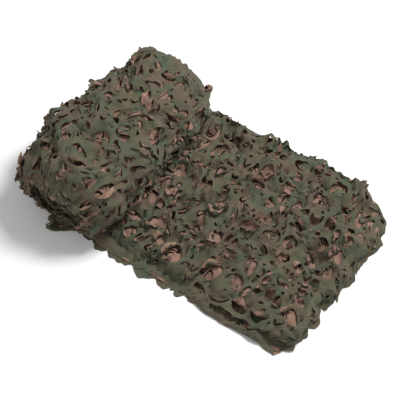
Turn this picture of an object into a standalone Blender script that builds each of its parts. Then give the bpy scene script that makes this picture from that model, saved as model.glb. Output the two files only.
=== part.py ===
"""A camouflage net: one sheet of die-cut cloth, folded in four along its length, rolled up from one end like
a carpet, with its other end lying out flat.

The wound part is one solid. The loose end is one sheet, laid back and forth in four layers a little apart,
with the leaf-shaped gaps of the cutting through it. Both lie on the floor, at z = 0.
"""

import math

import bmesh
import bpy
from mathutils import Vector, noise
from mathutils.geometry import delaunay_2d_cdt

# The open net, in metres, and how it is folded.
NET_WIDTH = 2.40
LAYERS = 4
STRIP_WIDTH = NET_WIDTH / LAYERS
SHEET = 0.003
GAP = 0.0003

# The leaf tongues: their width, the rows they stand in, and the reach and unevenness of each.
LEAF = 0.066
LEAF_ROW = 0.8 * LEAF
LEAF_REACH = 0.58 * LEAF
LEAF_JITTER = 0.010
LEAF_RIM = 0.3

# The lobed cut edge: how uneven its lobes are, over what length, and how blunt.
LOBE_UNEVEN = 0.35
LOBE_UNEVEN_LENGTH = 0.11
LOBE_BLUNT = 0.7

# Unevenness comes from one noise field, read in a row of its own for each use.
NOISE_GAIN = 1.6
NOISE_ROW = 7.3
NOISE_START = 0.5
LEAF_NOISE = (11, 12, 13)
LUMP_NOISE = 21
RIM_NOISE = 31
SWELL_NOISE = 41
LAYER_NOISE = 50
GAP_NOISE = (60, 70)
END_NOISE = 81
EDGE_NOISE = 91

# The wound part. Each row: share of the way from the near end to the far end, width, height.
ROLL_STATIONS = (
    (0.00, 0.278, 0.214),
    (0.05, 0.316, 0.252),
    (0.14, 0.338, 0.278),
    (0.30, 0.350, 0.288),
    (0.55, 0.332, 0.274),
    (0.80, 0.306, 0.252),
    (0.94, 0.284, 0.234),
    (1.00, 0.252, 0.210),
)
ROLL_NEAR_Y = -0.312
ROLL_FAR_Y = 0.275
NEAR_END_LEAN = 0.024
ROLL_SINK = 0.006
ROLL_STEPS = 38
ARC_STEPS = 50
FLOOR_STEPS = 3
CONTACT_STEPS = 2
ROLL_LEAF_LIFT = 0.014
ROLL_LUMP = 0.007
LUMP_LENGTH = 0.16
FREE_FROM_SEAT = 0.16
FREE_FROM_FLOOR = 0.10

# The ends of the wound part: the turns stand out of it in a spiral.
TURN = 0.050
TURN_RIDGE = 0.017
END_RINGS = (0.97, 0.91, 0.84, 0.76, 0.68, 0.60, 0.52, 0.44, 0.35, 0.26, 0.17, 0.09)
HUB_TURNS = 0.7
RIM_SCALLOP = 0.010
RIM_RADIUS = 0.15
RIM_INSIDE = 0.4
END_HOLLOW = 0.010
NOTCH_TURN = 0.01
NOTCH_SHARE = 0.6

# The loose end, from where it leaves the wound part to its own end.
CUT_X = -0.020
END_X = 0.800
NEAR_Y = (-0.302, -0.258)
FAR_Y = (0.306, 0.338)
FAR_BEND_X = (0.2, 0.6)
NEAR_TUCK = 0.022
FAR_TUCK = 0.038
TUCK_X = (0.060, 0.160)
CORNER_SHARE = 0.94
CORNER_STOP = 0.985
LAYER_PITCH = 0.0135
PITCH_UNDER_ROLL = 0.0105
UNDER_ROLL_X = 0.160
LOFT_X = 0.290
WAVE = 0.0045
WAVE_LENGTH = 0.17
LAYER_WAVE = 0.0012
LAYER_WAVE_LENGTH = 0.09
FOLD_ARC = 0.020
FOLD_ROWS = 4
FOLD_STEP = 0.041
NORMAL_STEP = 0.0004

# Each row: a layer from the top down, how far its near side and its end stand out past the top layer's, how
# far its far side does, and the radius of its far corner.
LAYER_SETS = (
    (0.000, 0.000, 0.000, 0.205),
    (0.006, 0.008, 0.000, 0.205),
    (0.006, 0.004, 0.006, 0.150),
    (0.002, 0.016, 0.006, 0.150),
)
PEEK_LAYERS = (1, 2)
PEEK_X = (0.42, 0.60)
PEEK = 0.018
PEEK_OUT_SHARE = 0.4

# The cut edges: how far their lobes stand out, the points of a lobe, and where they die out near a corner.
SCALLOP = 0.013
SCALLOP_POINTS = 5
SIDE_FADE = 0.05
CORNER_FADE = 0.04
END_FADE = 0.03
EDGE_STOP = 0.01
TOP_END_STEPS = 40
LOWER_END_STEPS = 26
LAST_EDGE_STEP = 0.055
START_SHARES = (0.67, 0.33)

# The gaps. Each row: gap length, width and turn of its long axis, used in order over and over.
GAP_FORMS = (
    (0.044, 0.017, 35.0),
    (0.036, 0.021, -50.0),
    (0.046, 0.015, 80.0),
    (0.034, 0.022, 10.0),
    (0.042, 0.019, -25.0),
    (0.038, 0.016, 60.0),
    (0.045, 0.020, -75.0),
)
TOP_GAP_PITCH = 0.0715
LOWER_GAP_PITCH = 0.132
GAP_MARGIN = 0.036
FIRST_GAP_X = 0.190
GAP_JITTER = 0.07
OPEN_AREA_X = (0.36, 0.66)
OPENED = 0.25
LOWER_GAP_SCALE = 1.15
GAP_CURL = 0.009
CURL_REACH = 0.030
CURL_SIDE = 0.4 * CURL_REACH
CURL_SINK = 0.25
CURL_START = 0.03
CLEAR_OF_GAP = 0.7

# The outline of a gap, once round: share of its length, share of its width.
GAP_SHAPE = ((-0.5, 0.0), (-0.22, 0.42), (0.2, 0.5), (0.5, 0.0), (0.22, -0.42), (-0.2, -0.5))

NET_GREEN = (0.116, 0.128, 0.082, 1.0)
NET_BROWN = (0.205, 0.130, 0.100, 1.0)


def smooth_step(low, high, value):
    share = min(max((value - low) / (high - low), 0.0), 1.0)
    return share * share * (3.0 - 2.0 * share)


def between(ends, share):
    return ends[0] + (ends[1] - ends[0]) * share


def wander(x, y, row):
    """A soft unevenness from -1 to 1 that differs for each row of the model."""
    return max(-1.0, min(1.0, NOISE_GAIN * noise.noise(Vector((x, y, NOISE_ROW * row + NOISE_START)))))


def scallop(along, row):
    """The lobed edge of the cut cloth: 0 in the notches and 1 at the tips."""
    uneven = LOBE_UNEVEN * wander(along / LOBE_UNEVEN_LENGTH, 0.0, row)
    return abs(math.sin(math.pi * (along / LEAF + uneven))) ** LOBE_BLUNT


def leaf_lift(along, across):
    """Overlapping leaf tongues: each rises from its root to a round tip that stands off the cloth."""
    best = 0.0
    row = math.floor(across / LEAF_ROW)
    for j in (row - 1, row, row + 1):
        shift = 0.5 * LEAF * (j % 2)
        column = math.floor((along - shift) / LEAF)
        for i in (column - 1, column, column + 1):
            aside_u, aside_v, twist = (wander(1.7 * i, 2.3 * j, noise_row) for noise_row in LEAF_NOISE)
            u = along - (i + 0.5) * LEAF - shift - LEAF_JITTER * aside_u
            v = across - (j + 0.5) * LEAF_ROW - LEAF_JITTER * aside_v
            turn = math.pi * twist
            reach = math.hypot(u, v) / LEAF_REACH
            if reach < 1.0:
                forward = (u * math.cos(turn) + v * math.sin(turn)) / LEAF_REACH
                best = max(best, (0.5 + 0.5 * forward) * min(1.0, (1.0 - reach) / LEAF_RIM))
    return best


def add_object(name, mesh_data, color):
    """Links a closed mesh as one object with its own material, its faces turned outwards."""
    mesh = bpy.data.meshes.new(name)
    shape = bmesh.new()
    points = [shape.verts.new(p) for p in mesh_data["points"]]
    for face in mesh_data["faces"]:
        shape.faces.new([points[i] for i in face])
    bmesh.ops.recalc_face_normals(shape, faces=shape.faces)
    shape.to_mesh(mesh)
    shape.free()
    mesh.shade_smooth()
    mesh.set_sharp_from_angle(angle=math.radians(50.0))
    material = bpy.data.materials.new(name)
    material.use_nodes = True
    surface = material.node_tree.nodes["Principled BSDF"]
    surface.inputs["Base Color"].default_value = color
    surface.inputs["Roughness"].default_value = 0.9
    surface.inputs["Metallic"].default_value = 0.0
    mesh.materials.append(material)
    body = bpy.data.objects.new(name, mesh)
    bpy.context.scene.collection.objects.link(body)
    return body


# The wound part.


def roll_size(share):
    """Width and height of the wound part at a share of the way along it."""
    for low, high in zip(ROLL_STATIONS, ROLL_STATIONS[1:]):
        if share <= high[0]:
            part = smooth_step(low[0], high[0], share)
            return between((low[1], high[1]), part), between((low[2], high[2]), part)
    return ROLL_STATIONS[-1][1], ROLL_STATIONS[-1][2]


def strip_top_under_roll():
    return (LAYERS - 1) * PITCH_UNDER_ROLL + SHEET


def roll_section(share):
    """One turn of points around the wound part: the arc over it, then the floor and the loose end's top."""
    width, height = roll_size(share)
    y = between((ROLL_NEAR_Y, ROLL_FAR_Y), share)
    lean = NEAR_END_LEAN * (1.0 - smooth_step(0.0, 0.5, share))
    middle_z = height / 2.0 - ROLL_SINK
    seat_z = strip_top_under_roll() + GAP
    start = math.asin((seat_z - middle_z) / (height / 2.0))
    end = math.pi + math.asin(middle_z / (height / 2.0))
    points = []
    for k in range(ARC_STEPS + 1):
        turn = between((start, end), k / ARC_STEPS)
        normal = Vector((math.cos(turn) / width, 0.0, math.sin(turn) / height)).normalized()
        x = width / 2.0 * math.cos(turn)
        z = middle_z + height / 2.0 * math.sin(turn)
        around = turn * (width + height) / 4.0
        free = smooth_step(0.0, FREE_FROM_SEAT, k / ARC_STEPS)
        free *= smooth_step(0.0, FREE_FROM_FLOOR, 1.0 - k / ARC_STEPS)
        lift = ROLL_LEAF_LIFT * leaf_lift(around, y)
        lift += ROLL_LUMP * wander(x / LUMP_LENGTH, (y + z) / LUMP_LENGTH, LUMP_NOISE)
        x += normal.x * lift * free
        z += normal.z * lift * free
        points.append(Vector((x, y, z)))
    left = points[-1].x
    right = points[0].x
    points[-1].z = 0.0
    points[0].z = seat_z
    for k in range(1, FLOOR_STEPS + 1):
        points.append(Vector((between((left, CUT_X), k / FLOOR_STEPS), y, 0.0)))
    for k in range(CONTACT_STEPS):
        points.append(Vector((between((CUT_X, right), k / CONTACT_STEPS), y, seat_z)))
    for p in points:
        p.y += lean * (1.0 - p.z / height)
    return points, Vector((0.0, y + lean / 2.0, middle_z))


def spiral_ridge(radius, turn):
    """How far a turn's edge stands out of the wound part's end."""
    phase = radius / TURN - turn / (2.0 * math.pi)
    fade = smooth_step(0.0, HUB_TURNS * TURN, radius)
    return TURN_RIDGE * fade * (0.5 + 0.5 * math.cos(2.0 * math.pi * phase))


def end_rings(section, middle, share, outward):
    """The rings of one end: round in the middle, leaning as its rim does, notched over the loose end."""
    width, height = roll_size(share)
    lean = NEAR_END_LEAN / height if share == 0.0 else 0.0
    spokes = []
    for p in section:
        turn = math.atan2(p.z - middle.z, p.x)
        if spokes and turn < spokes[-1][0] - math.pi:
            turn += 2.0 * math.pi
        turn = max(turn, spokes[-1][0] + NOTCH_TURN) if spokes else turn
        oval = 1.0 / math.hypot(2.0 * math.cos(turn) / width, 2.0 * math.sin(turn) / height)
        spokes.append((turn, oval, math.hypot(p.x, p.z - middle.z)))
    rings = []
    for scale in END_RINGS:
        ring = []
        for turn, oval, rim in spokes:
            radius = min(oval * scale, rim * (NOTCH_SHARE + (1.0 - NOTCH_SHARE) * scale))
            out = spiral_ridge(radius, outward * turn) - END_HOLLOW * (1.0 - scale)
            out += lean * radius * math.sin(turn)
            ring.append(middle + Vector((radius * math.cos(turn), outward * out, radius * math.sin(turn))))
        rings.append(ring)
    return rings


def build_roll():
    sections = []
    middles = []
    for k in range(ROLL_STEPS + 1):
        section, middle = roll_section(k / ROLL_STEPS)
        sections.append(section)
        middles.append(middle)
    for section, middle, outward in ((sections[0], middles[0], -1.0), (sections[-1], middles[-1], 1.0)):
        for p in section:
            turn = math.atan2(p.z - middle.z, p.x - middle.x)
            p.y += outward * RIM_SCALLOP * (scallop(turn * RIM_RADIUS, RIM_NOISE) - RIM_INSIDE)
    near = end_rings(sections[0], middles[0], 0.0, -1.0)
    far = end_rings(sections[-1], middles[-1], 1.0, 1.0)
    rings = near[::-1] + sections + far
    count = len(sections[0])
    points = [p for ring in rings for p in ring]
    faces = []
    for r in range(len(rings) - 1):
        for k in range(count):
            after = (k + 1) % count
            faces.append((r * count + k, r * count + after, (r + 1) * count + after, (r + 1) * count + k))
    for ring, middle in ((0, middles[0]), (len(rings) - 1, middles[-1])):
        hub = len(points)
        points.append(middle)
        for k in range(count):
            faces.append((ring * count + k, ring * count + (k + 1) % count, hub))
    return add_object("net_roll", {"points": points, "faces": faces}, NET_GREEN)


# The loose end. Its cloth is a flat chart: x along the strip, s back and forth across all four layers.


def layer_start(layer):
    return layer * (STRIP_WIDTH + FOLD_ARC)


CHART_WIDTH = layer_start(LAYERS - 1) + STRIP_WIDTH


def far_edge(x, layer):
    """The far long side, rounded off at its end."""
    _, _, out, radius = LAYER_SETS[layer]
    straight = between(FAR_Y, smooth_step(*FAR_BEND_X, x)) + out - FAR_TUCK * (1.0 - smooth_step(*TUCK_X, x))
    middle = END_X - CORNER_SHARE * radius
    if x <= middle:
        return straight
    beyond = min(x - middle, CORNER_STOP * radius)
    return straight - radius + math.sqrt(radius ** 2 - beyond ** 2)


def near_edge(x, layer):
    """The near long side; the second and third layers peek out near the end."""
    out = LAYER_SETS[layer][0]
    if layer in PEEK_LAYERS:
        out = PEEK_OUT_SHARE * out + PEEK * smooth_step(*PEEK_X, x)
    tuck = NEAR_TUCK * (1.0 - smooth_step(*TUCK_X, x))
    return between(NEAR_Y, x / END_X) - out + tuck


def layer_height(x, y, layer):
    """Height of the middle of a layer's cloth."""
    below = LAYERS - 1 - layer
    free = smooth_step(UNDER_ROLL_X, LOFT_X, x)
    pitch = between((PITCH_UNDER_ROLL, LAYER_PITCH), free)
    swell = WAVE * (below / (LAYERS - 1)) * wander(x / WAVE_LENGTH, y / WAVE_LENGTH, SWELL_NOISE)
    if below:
        swell += LAYER_WAVE * wander(x / LAYER_WAVE_LENGTH, y / LAYER_WAVE_LENGTH, LAYER_NOISE + layer)
    return SHEET / 2.0 + below * pitch + free * swell


def gap_centres():
    """Each gap of the chart: its middle, length, width, turn and layer."""
    gaps = []
    for layer in range(LAYERS):
        pitch = TOP_GAP_PITCH if layer == 0 else LOWER_GAP_PITCH
        columns = int((END_X - GAP_MARGIN - FIRST_GAP_X) / pitch) + 1
        rows = int((STRIP_WIDTH - 2.0 * GAP_MARGIN) / pitch) + 1
        span = (rows - 1) * pitch
        for i in range(columns):
            for j in range(rows):
                aside_x, aside_s = (GAP_JITTER * wander(1.9 * i, 2.7 * j, row + layer) for row in GAP_NOISE)
                x = FIRST_GAP_X + (i + aside_x) * pitch
                s = (STRIP_WIDTH - span) / 2.0 + (j + aside_s) * pitch
                length, width, turn = GAP_FORMS[(3 * i + 5 * j + layer) % len(GAP_FORMS)]
                scale = LOWER_GAP_SCALE if layer else 1.0 + OPENED * smooth_step(*OPEN_AREA_X, x)
                s += layer_start(layer)
                gaps.append((x, s, length * scale, width * scale, math.radians(turn), layer))
    return gaps


GAPS = gap_centres()


def gap_outline(gap):
    """A leaf shape: two arcs that meet in a point at each end."""
    x, s, length, width, turn, _ = gap
    outline = []
    for along, across in GAP_SHAPE:
        u = along * length
        v = across * width
        turned_x = u * math.cos(turn) - v * math.sin(turn)
        turned_s = u * math.sin(turn) + v * math.cos(turn)
        outline.append((x + turned_x, s + turned_s))
    return outline


def curl(x, s):
    """The tongues at the top layer's gaps: one side of each gap stands up."""
    lift = 0.0
    for middle_x, middle_s, _, _, turn, layer in GAPS:
        u = x - middle_x
        v = s - middle_s
        reach = math.hypot(u, v) / CURL_REACH
        if layer == 0 and reach < 1.0:
            side = (v * math.cos(turn) - u * math.sin(turn)) / CURL_SIDE
            lift += GAP_CURL * max(-CURL_SINK, min(1.0, side)) * (1.0 - reach ** 2)
    return lift * smooth_step(FIRST_GAP_X - CURL_START, LOFT_X, x)


def chart_point(x, s):
    """The place in space of a point of the chart."""
    for layer in range(LAYERS):
        start = layer_start(layer)
        y_start = near_edge(x, layer) if layer % 2 == 0 else far_edge(x, layer)
        y_end = far_edge(x, layer) if layer % 2 == 0 else near_edge(x, layer)
        if s <= start + STRIP_WIDTH or layer == LAYERS - 1:
            y = between((y_start, y_end), (s - start) / STRIP_WIDTH)
            z = layer_height(x, y, layer)
            if layer == 0:
                z += curl(x, s)
            return Vector((x, y, z))
        if s < start + STRIP_WIDTH + FOLD_ARC:
            upper = layer_height(x, y_end, layer)
            next_y = far_edge(x, layer + 1) if layer % 2 == 0 else near_edge(x, layer + 1)
            lower = layer_height(x, next_y, layer + 1)
            share = (s - start - STRIP_WIDTH) / FOLD_ARC
            radius = (upper - lower) / 2.0
            side = 1.0 if layer % 2 == 0 else -1.0
            y = between((y_end, next_y), share) + side * radius * math.sin(math.pi * share)
            return Vector((x, y, (upper + lower) / 2.0 + radius * math.cos(math.pi * share)))
    return None


def chart_normal(x, s):
    along = chart_point(x + NORMAL_STEP, s) - chart_point(x - NORMAL_STEP, s)
    across = chart_point(x, s + NORMAL_STEP) - chart_point(x, s - NORMAL_STEP)
    return along.cross(across).normalized()


def end_edge(s):
    """The cut end of the strip, lobed, and set a little differently in each layer."""
    layer = min(int(s / (STRIP_WIDTH + FOLD_ARC)), LAYERS - 1)
    inside = s - layer_start(layer)
    out = LAYER_SETS[layer][1]
    if inside > STRIP_WIDTH and layer < LAYERS - 1:
        after = LAYER_SETS[layer + 1][1]
        return END_X + between((out, after), (inside - STRIP_WIDTH) / FOLD_ARC)
    inside = min(inside, STRIP_WIDTH)
    ends = smooth_step(0.0, END_FADE, inside) * smooth_step(0.0, END_FADE, STRIP_WIDTH - inside)
    return END_X + out + SCALLOP * ends * (scallop(inside, END_NOISE + layer) - 0.5)


def chart_outline():
    """The outline of the chart, once round, with lobes on the top layer's free side and on the end."""
    start = CUT_X + GAP
    lobe_step = LEAF / SCALLOP_POINTS
    outline = []
    rows = fold_rows()
    for k in range(int((END_X - EDGE_STOP - start) / lobe_step) + 1):
        x = start + k * lobe_step
        fade = smooth_step(start, start + SIDE_FADE, x) * smooth_step(0.0, CORNER_FADE, END_X - x)
        outline.append((x, -SCALLOP * fade * scallop(x, EDGE_NOISE)))
    for layer in range(LAYERS):
        steps = LOWER_END_STEPS if layer else TOP_END_STEPS
        for k in range(steps + 1):
            s = layer_start(layer) + STRIP_WIDTH * k / steps
            outline.append((end_edge(s), s))
        outline += [(end_edge(s), s) for s in rows[layer][1:-1]] if layer < LAYERS - 1 else []
    last_steps = int((END_X - CORNER_FADE - start) / LAST_EDGE_STEP)
    outline += [(END_X - CORNER_FADE - k * LAST_EDGE_STEP, CHART_WIDTH) for k in range(last_steps)]
    outline.append((start, CHART_WIDTH))
    for layer in range(LAYERS - 1, -1, -1):
        if layer < LAYERS - 1:
            outline += [(start, s) for s in rows[layer][::-1]]
        outline += [(start, layer_start(layer) + STRIP_WIDTH * share) for share in START_SHARES]
    return outline


def fold_rows():
    """For each fold, the chart's rows across it."""
    rows = []
    for layer in range(LAYERS - 1):
        start = layer_start(layer) + STRIP_WIDTH
        rows.append([start + FOLD_ARC * k / FOLD_ROWS for k in range(FOLD_ROWS + 1)])
    return rows


def inside(point, outline):
    """Whether a point lies inside a closed outline."""
    x, s = point
    hit = False
    for (x0, s0), (x1, s1) in zip(outline, outline[1:] + outline[:1]):
        if (s0 > s) != (s1 > s) and x < x0 + (x1 - x0) * (s - s0) / (s1 - s0):
            hit = not hit
    return hit


def chart_triangles():
    """Triangles of the chart inside its outline and outside its gaps."""
    points = []
    edges = []

    def add_path(path, closed):
        first = len(points)
        points.extend(path)
        edges.extend((first + k, first + k + 1) for k in range(len(path) - 1))
        if closed:
            edges.append((first + len(path) - 1, first))

    outline = chart_outline()
    add_path(outline, True)
    holes = [gap_outline(gap) for gap in GAPS]
    for hole in holes:
        add_path(hole, True)
    start = CUT_X + GAP
    steps = round((END_X - start) / FOLD_STEP)
    for rows in fold_rows():
        for s in rows:
            reach = end_edge(s) - start
            add_path([(start + reach * k / steps, s) for k in range(1, steps)], False)
    cross_steps = round(CHART_WIDTH / (2.0 * FOLD_STEP))
    add_path([(UNDER_ROLL_X, CHART_WIDTH * k / cross_steps) for k in range(1, cross_steps)], False)
    for layer in range(LAYERS):
        pitch = TOP_GAP_PITCH if layer == 0 else LOWER_GAP_PITCH
        for i in range(int((END_X - start) / pitch)):
            for j in range(1, int(STRIP_WIDTH / pitch)):
                spot = (start + (i + 0.5) * pitch, layer_start(layer) + j * pitch)
                clear = all(math.hypot(spot[0] - g[0], spot[1] - g[1]) > CLEAR_OF_GAP * g[2] for g in GAPS)
                if clear and spot[0] < END_X - END_FADE:
                    points.append(spot)
    flat = [Vector(p) for p in points]
    found, _, triangles, _, _, _ = delaunay_2d_cdt(flat, edges, [], 0, 1e-7)
    kept = []
    for face in triangles:
        middle = sum((found[i] for i in face), Vector((0.0, 0.0))) / 3.0
        if inside(middle, outline) and not any(inside(middle, hole) for hole in holes):
            kept.append(tuple(face))
    return found, kept


def build_loose_end():
    """The chart's triangles on both sides of the cloth, with walls along every cut edge."""
    chart, triangles = chart_triangles()
    used = sorted({i for face in triangles for i in face})
    place = {i: k for k, i in enumerate(used)}
    upper = []
    lower = []
    for i in used:
        point = chart_point(*chart[i])
        normal = chart_normal(*chart[i])
        upper.append(point + normal * SHEET / 2.0)
        lower.append(point - normal * SHEET / 2.0)
    count = len(used)
    faces = []
    sides = set()
    for face in triangles:
        a, b, c = (place[i] for i in face)
        faces.append((a, b, c))
        faces.append((count + c, count + b, count + a))
        sides.update(((a, b), (b, c), (c, a)))
    for a, b in sorted(sides):
        if (b, a) not in sides:
            faces.append((b, a, count + a, count + b))
    return add_object("net_loose_end", {"points": upper + lower, "faces": faces}, NET_BROWN)


def stand_on_origin(bodies):
    """Moves the net so that the middle of its box stands over the origin."""
    corners = [vertex.co for body in bodies for vertex in body.data.vertices]
    middle_x = (min(p.x for p in corners) + max(p.x for p in corners)) / 2.0
    middle_y = (min(p.y for p in corners) + max(p.y for p in corners)) / 2.0
    for body in bodies:
        body.location = (-middle_x, -middle_y, 0.0)
    print("origin moved by", round(middle_x, 4), round(middle_y, 4))


def main():
    for old in list(bpy.data.objects):
        bpy.data.objects.remove(old, do_unlink=True)
    stand_on_origin([build_roll(), build_loose_end()])
    bpy.context.view_layer.update()


main()
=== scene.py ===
"""Looks of the rolled camouflage net: die-cut cloth, green on its face and brown on its back.

The net is one sheet, folded in half twice along its length and rolled up from one end. Here it is a flat
chart: `along` is x on the loose end, and goes on below zero round the roll to its middle, and `across` runs
back and forth over the four layers. Cells of a cutting die tile the chart. Their leaf tongues are bent out of
it, the chart is laid into the form of the net, and the cloth gets its thickness. Metres throughout.
"""

from math import ceil, copysign, cos, pi, radians, sin, sqrt

import bpy
import numpy as np
from mathutils import Matrix, Vector
from mathutils.geometry import delaunay_2d_cdt


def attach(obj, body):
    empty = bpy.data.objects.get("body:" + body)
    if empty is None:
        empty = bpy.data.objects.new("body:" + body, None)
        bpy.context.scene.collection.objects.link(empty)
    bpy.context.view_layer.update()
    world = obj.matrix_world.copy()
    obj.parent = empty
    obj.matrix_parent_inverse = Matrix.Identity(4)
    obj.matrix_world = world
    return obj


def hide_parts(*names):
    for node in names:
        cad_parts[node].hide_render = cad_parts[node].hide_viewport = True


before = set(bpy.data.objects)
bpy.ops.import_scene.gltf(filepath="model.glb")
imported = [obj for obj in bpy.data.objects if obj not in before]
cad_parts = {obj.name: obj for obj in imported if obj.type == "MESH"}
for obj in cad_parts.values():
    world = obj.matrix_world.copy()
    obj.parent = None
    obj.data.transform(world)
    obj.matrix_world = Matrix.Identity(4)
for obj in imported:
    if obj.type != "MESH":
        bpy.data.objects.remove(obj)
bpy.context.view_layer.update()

# The part's origin in the form's own frame, which starts on the floor under the roll.
ORIGIN = Vector((0.3184, 0.0137, 0.0))

# The strip: the net folded in half twice. Its cut edges and, under them, the first fold are at the near side.
# The second fold is at the far side.
LAYERS = 4
STRIP_WIDTH = 0.585
# How deep each layer lies, in the chart's order, from the top layer's cut edge on.
DEPTHS = np.array((0, 3, 2, 1))
# The cloth round the fold between the first two layers, and round each of the others.
OUTER_ARC = 0.062
INNER_ARC = 0.02
STARTS = np.array((0.0, STRIP_WIDTH + OUTER_ARC, 2 * STRIP_WIDTH + OUTER_ARC + INNER_ARC,
                   3 * STRIP_WIDTH + OUTER_ARC + 2 * INNER_ARC))
CHART_WIDTH = STARTS[-1] + STRIP_WIDTH

# The loose end, as in the solids: its start and end, its sides at both, the far one's bend, and how far they
# draw in beside the roll.
CUT_X = -0.02
END_X = 0.8
NEAR_Y = (-0.302, -0.258)
FAR_Y = (0.306, 0.338)
FAR_BEND_X = (0.2, 0.6)
TUCK_X = (0.06, 0.16)
NEAR_TUCK = 0.022
FAR_TUCK = 0.038
# The far corner's arc: the share of its radius before the end, and the largest share used.
CORNER_SHARE = 0.94
CORNER_STOP = 0.985
# How far apart the layers lie, free and under the roll, and where that changes.
PITCH_FREE = 0.0135
PITCH_UNDER = 0.0105
LOFT_X = (0.16, 0.29)
# How unevenly they lie, how far the inner ones sag, and how much flatter all lie at the far corner.
SWELL = 0.005
LAYER_SAG = 0.005
CORNER_SINK = 0.62
CORNER_SINK_X = (0.672, 0.706)
CORNER_SINK_Y = (0.15, 0.27)
CLOTH_MIDDLE = 0.0015
# For each depth from the top down: how far out its near side, end and far side lie, and its corner's radius.
NEAR_OUT = np.array((0, -0.02, 0.006, 0.006))
END_OUT = np.array((0, 0, 0.002, 0.002))
FAR_OUT = np.array((-0.006, -0.016, -0.012, 0))
FAR_RADIUS = np.array((0.205, 0.195, 0.16, 0.15))
# Towards the end, the two upper near sides draw in, and the two lower ones peek out.
PEEK = np.array((-0.02, -0.03, 0.01, 0.01))
PEEK_X = (0.42, 0.56)
# The end draws in on an arc beside the near side, over this many columns.
CORNER_ROUND = 0.055
CORNER_DRAW = 0.7
CORNER_COLUMNS = 3.0
# The far side has a dent before its corner.
NOTCH = 0.022
NOTCH_START = (0.64, 0.69)
NOTCH_STOP = (0.695, 0.715)
# How far the folds stand out past the sides.
OUTER_BULGE = 0.01
INNER_BULGE = 0.5 * PITCH_FREE

# The wound part, as in the solids: share of the way from its near end, width, height.
ROLL_SHARE = (0.0, 0.05, 0.14, 0.3, 0.55, 0.8, 0.94, 1.0)
ROLL_WIDTH = (0.278, 0.316, 0.338, 0.35, 0.332, 0.306, 0.284, 0.252)
ROLL_HEIGHT = (0.214, 0.252, 0.278, 0.288, 0.274, 0.252, 0.234, 0.21)
ROLL_NEAR_Y = -0.312
ROLL_FAR_Y = 0.275
# Between these places, the loose end's sides turn into the roll's, which sway a little.
WOUND_X = (-0.06, 0.08)
SWAY = 0.007
SWAY_LENGTH = 0.16
SWAY_SHIFT = 3.7
# The near end leans, up to this share of the way. Cloth past the far end falls in by this share.
NEAR_LEAN = 0.024
NEAR_LEAN_SHARE = 0.5
FAR_FALL = 0.7
# How far the cloth lies outside the solid, and how far the floor flattens it.
ROLL_LOFT = 0.005
ROLL_SINK = 0.006
# Its lumps, and the turns on which they come and go.
ROLL_LUMP = 0.008
LUMP_START = (0.05, 0.15)
LUMP_STOP = (0.7, 0.8)
# The cloth leaves the floor at this angle, on this run. From this turn on it lies on the loose end.
FLOOR_ANGLE = radians(253.0)
FLOOR_RUN = 0.03
SEAT_TURN = 0.8
SEAT_Z = 0.0352
# How much deeper each turn lies, the gap under its outermost layer, the radius for both, the share of it that
# is filled, and how hollow the roll's ends are.
TURN = 0.029
SKIN_GAP = 0.0065
MIDDLE_RADIUS = 0.15
HUB_SHARE = 0.93
END_HOLLOW = 0.02
# The lengths round the roll: turns at most, steps, and the depth that is measured.
MOST_TURNS = 4.0
TURN_STEPS = 1600
MEASURED_DEPTH = 2.0

# The top layer hangs over the near side and the end: how much of it, how steeply at last, and along the near
# side where it starts and gets less.
NEAR_HANG = 0.08
NEAR_HANG_ANGLE = radians(36.0)
NEAR_HANG_START = (0.03, 0.12)
NEAR_HANG_STOP = (0.44, 0.54)
NEAR_HANG_LEFT = 0.3
END_HANG = 0.05
END_HANG_ANGLE = radians(64.0)
# For each depth, how far it draws in there, and from where on at the end.
NEAR_TUCK_IN = np.array((0, 0.046, 0.032, 0.01))
END_TUCK_IN = np.array((0, 0.036, 0.01, 0.026))
END_DRAW_X = 0.3
# The roll's two outermost layers hang over its near end, unevenly, as far in as here.
ROLL_HANG = 0.024
ROLL_HANG_ANGLE = radians(70.0)
ROLL_HANG_SWAY = 0.4
ROLL_HANG_STOP = (-0.95, -0.8)
# Cloth that hangs over has its full slope after this share of its hang.
HANG_BEND = 0.55

# The chart's cells: their length, their columns on the loose end, the first turn and further in, their rows.
CELL = 0.0626
COLUMNS_OUT = 14
COLUMNS_TURN = 15
COLUMNS_INNER = 18
TURN_END = COLUMNS_OUT + COLUMNS_TURN
ALL_COLUMNS = TURN_END + COLUMNS_INNER
ROWS = 39
CELL_SIZE = np.array((CELL, CHART_WIDTH / ROWS))
# The top piece's rows, the far fold's first row, the near fold's middle row, and the roll's first calmer row.
TOP_ROWS = 11
FAR_FOLD_ROW = 9
NEAR_FOLD_ROW = 19
CALM_ROW = 15
# On these columns of the roll, cut by these dies, tongues stand out from its outline.
BRISTLE_COLUMNS = (16, 17, 18, 19)
BRISTLE_DIES = (1, 3, 4)
# On this many columns from the end, the near side's edge has curled leaves.
LIVELY_COLUMNS = 6

# The cut edges' lobes: depth at the sides and at the end, length and how it varies, roundness, and how far in
# they lie.
LOBE = 0.028
END_LOBE = 0.022
LOBE_LENGTH = 0.07
LOBE_SWAY = 0.3
LOBE_ROUND = 0.7
LOBE_REST = 0.35
END_LOBE_REST = 0.5
# The near side's lobes are smaller where it hangs less. All lobes die out on this run.
CALM_LOBES = 0.45
EDGE_RUN = 1.2 * CELL

# The cloth's thickness, how far its cells are warped, and how far its tongues reach up and down, on the loose
# end and on the roll, and where they are hidden.
THICKNESS = 0.0008
WARP = 0.011
LEAF_REACH = (0.036, 0.026)
LEAF_SINK = (0.014, 0.006)
HIDDEN_REACH = 0.005
# The widest curls, and the longest tongues that still fold back on the roll, in cells.
LOOSE_CURL = 0.026
ROLL_CURL = 0.022
LARGE = 0.32
# The crumple of the cloth, coarse and fine, and how much of it is left on the roll.
CRUMPLE = 0.008
FINE_CRUMPLE = 0.0045
ROLL_CRUMPLE = 0.75
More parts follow.
